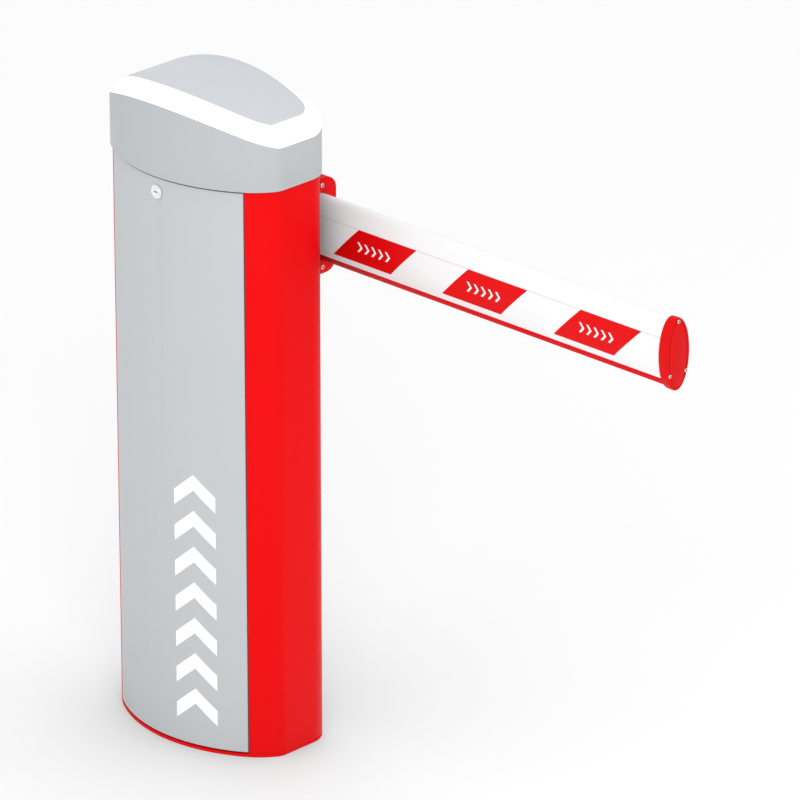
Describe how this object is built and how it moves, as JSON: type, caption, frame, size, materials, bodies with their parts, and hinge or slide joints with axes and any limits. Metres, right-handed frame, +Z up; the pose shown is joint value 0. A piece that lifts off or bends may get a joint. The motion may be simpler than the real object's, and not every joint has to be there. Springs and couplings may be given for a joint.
{
  "type": "parking barrier gate",
  "caption": "Floor-standing parking barrier: bowed drive cabinet with domed lit cap, lift-off front door, and a short oval boom that swings up on its back.",
  "frame": {"origin": "on the ground at the centre of the base plate's four anchor holes, under the middle of the cabinet", "axes": "+X along the closed boom towards its tip, +Y to the back of the cabinet where the boom hangs, +Z up"},
  "size_m": [0.9825, 0.2649, 1.0335],
  "materials": {
    "red_paint": "smooth gloss powder coat",
    "door_grey": "smooth satin powder coat",
    "cap_grey": "fine moulded satin plastic",
    "lid_grey": "fine moulded satin plastic",
    "light_white": "opal light diffuser",
    "boom_white": "gloss white coat on aluminium",
    "bumper_red": "satin red rubber",
    "mark_red": "red reflective film",
    "end_cap_red": "moulded red plastic",
    "zinc_steel": "bright zinc plate",
    "black_steel": "black oxide",
    "frame_steel": "galvanised sheet",
    "chrome": "polished",
    "cast_aluminium": "cast, fine grain",
    "motor_blue": "dark blue enamel",
    "rubber_black": "matt",
    "box_grey": "moulded",
    "plastic_black": "moulded",
    "board_green": "solder mask"
  },
  "bodies": {
    "cabinet": {"base_plate": "red_paint", "cabinet_shell": "red_paint", "door_gasket": "rubber_black", "top_ring": "frame_steel", "hook_rod": "zinc_steel", "cap_skirt": "cap_grey", "light_band": "light_white", "cap_lid": "lid_grey", "cap_tray": "light_white", "light_strip": "light_white", "drive_rear_plate": "frame_steel", "drive_front_plate": "frame_steel", "stand_offs": "zinc_steel", "frame_foot": "frame_steel", "frame_bolts": "zinc_steel", "shaft_bearings": "cast_aluminium", "shaft_seal": "rubber_black", "stop_buffers": "rubber_black", "gearbox_case": "cast_aluminium", "gearbox_cover": "cast_aluminium", "motor": "motor_blue", "motor_fan_cover": "plastic_black", "limit_switches": "plastic_black", "balance_spring": "black_steel", "spring_anchor": "frame_steel", "tension_screw": "zinc_steel", "control_box": "box_grey", "control_lid": "box_grey", "control_board": "board_green", "terminal_strip": "plastic_black", "cable_glands": "plastic_black"},
    "door": {"door_panel": "door_grey", "door_stiffeners": "frame_steel", "door_hooks": "zinc_steel", "lock_body": "chrome"},
    "lock_core": {"lock_plug": "chrome", "lock_cam": "zinc_steel"},
    "boom": {"boom_shaft": "black_steel", "shaft_key": "black_steel", "rocker": "frame_steel", "rocker_pins": "zinc_steel", "switch_cams": "plastic_black", "bracket_hub": "red_paint", "bracket_body": "red_paint", "bracket_plate": "red_paint", "bracket_end_cover": "red_paint", "bracket_screws": "zinc_steel", "bracket_bolts": "zinc_steel", "boom_clamps": "plastic_black", "boom_profile": "boom_white", "boom_bumper": "bumper_red", "boom_end_cap": "end_cap_red", "end_cap_screws": "zinc_steel", "boom_marks": "mark_red"},
    "crank": {"crank": "black_steel", "output_shaft": "black_steel"},
    "rod": {"rod_ends": "zinc_steel", "connecting_rod": "black_steel"},
    "hanger": {"spring_hanger": "zinc_steel"},
    "release": {"release_lever": "end_cap_red"}
  },
  "joints": [
    {"name": "boom_swing", "type": "hinge", "parent": "cabinet", "child": "boom", "pos_m": [0, 0.13635, 0.786], "axis": [0, -1, 0], "range_deg": [0, 90], "deforming": ["balance_spring"]},
    {"name": "crank_turn", "type": "hinge", "parent": "cabinet", "child": "crank", "pos_m": [0, 0.025, 0.556], "axis": [0, -1, 0], "range_deg": [0, 90]},
    {"name": "rod_swing", "type": "hinge", "parent": "boom", "child": "rod", "pos_m": [0.04243, 0.038, 0.74357], "axis": [0, -1, 0], "range_deg": [-90, 0]},
    {"name": "hanger_swing", "type": "hinge", "parent": "boom", "child": "hanger", "pos_m": [-0.0495, 0.038, 0.8355], "axis": [0, -1, 0], "range_deg": [-90, 0]},
    {"name": "door_tilt", "type": "hinge", "parent": "cabinet", "child": "door", "pos_m": [0, -0.0845, 0.0115], "axis": [1, 0, 0], "range_deg": [0, 15]},
    {"name": "lock_turn", "type": "hinge", "parent": "door", "child": "lock_core", "pos_m": [0, -0.09, 0.876], "axis": [0, -1, 0], "range_deg": [0, 90]},
    {"name": "release_turn", "type": "hinge", "parent": "cabinet", "child": "release", "pos_m": [0.03, -0.07, 0.59], "axis": [0, -1, 0], "range_deg": [0, 90]}
  ],
  "couplings": [
    {"joint": "crank_turn", "follows": "boom_swing", "ratio": 1},
    {"joint": "rod_swing", "follows": "boom_swing", "ratio": -1},
    {"joint": "hanger_swing", "follows": "boom_swing", "ratio": -1}
  ]
}
